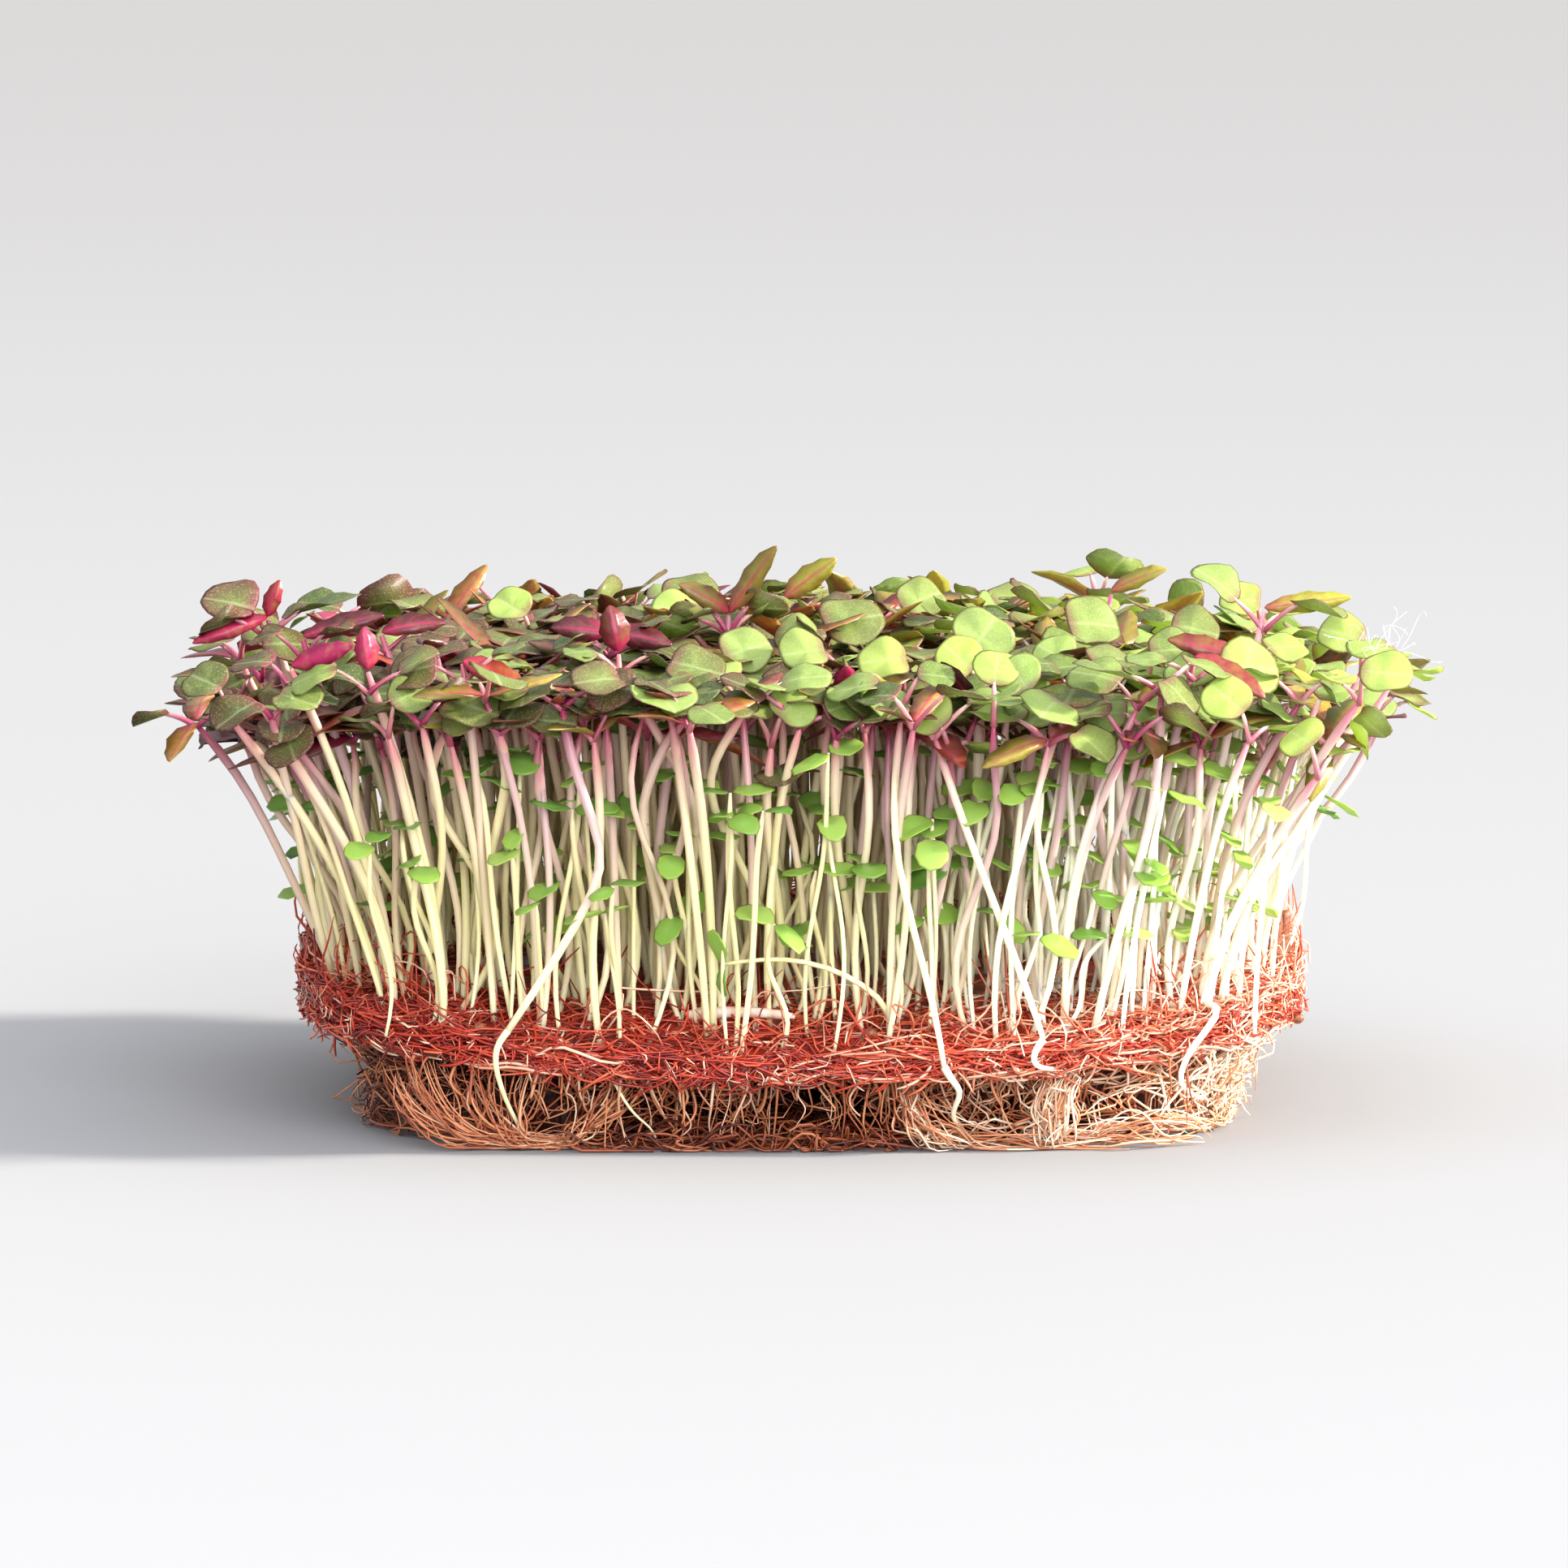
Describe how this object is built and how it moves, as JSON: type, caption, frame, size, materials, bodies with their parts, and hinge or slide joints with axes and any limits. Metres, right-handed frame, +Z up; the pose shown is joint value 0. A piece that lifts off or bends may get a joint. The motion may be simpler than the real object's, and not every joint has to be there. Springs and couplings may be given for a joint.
{
  "type": "microgreens on coir mat",
  "caption": "Block of red-leaved herb microgreens standing on a coir fibre mat, with its root mass below shaped by the punnet it came out of.",
  "frame": {"origin": "on the flat underside of the root mass, below the middle of the mat", "axes": "+Z up, +X along the front edge to the picture's right, -Y towards the viewer"},
  "size_m": [0.1572, 0.1479, 0.0679],
  "materials": {
    "coir": "damp red-brown coconut fibre felt, matt with wet glints",
    "root": "matted fine roots, tan to orange-brown, damp",
    "stem": "smooth juicy stems, cream at the foot and mauve-pink at the top, satin",
    "leaf": "thin soft leaves, green seed leaves and maroon true leaves, satin, light comes through",
    "dry_stem": "dry bleached stem, matt",
    "husk": "brown seed coat and husk bark, low sheen"
  },
  "bodies": {
    "root": {"coir_mat": "coir", "root_mass": "root", "inner_sprouts": "leaf", "stem_01": "stem", "stem_02": "stem", "stem_03": "stem", "stem_04": "stem", "stem_05": "stem", "stem_06": "stem", "stem_07": "stem", "stem_08": "stem", "stem_09": "stem", "stem_10": "stem", "stem_11": "stem", "stem_12": "stem", "stem_13": "stem", "stem_14": "stem", "stem_15": "stem", "stem_16": "stem", "stem_17": "stem", "stem_18": "stem", "leaf_head_01": "leaf", "leaf_head_02": "leaf", "leaf_head_03": "leaf", "leaf_head_04": "leaf", "leaf_head_05": "leaf", "leaf_head_06": "leaf", "leaf_head_07": "leaf", "leaf_head_08": "leaf", "leaf_head_09": "leaf", "leaf_head_10": "leaf", "leaf_head_11": "leaf", "leaf_head_12": "leaf", "leaf_head_13": "leaf", "leaf_head_14": "leaf", "leaf_head_15": "leaf", "leaf_head_16": "leaf", "leaf_head_17": "leaf", "leaf_head_18": "leaf", "dry_stem": "dry_stem", "husk_strip_1": "husk", "husk_strip_2": "husk", "seed_1": "husk", "seed_2": "husk", "seed_3": "husk"}
  },
  "joints": []
}
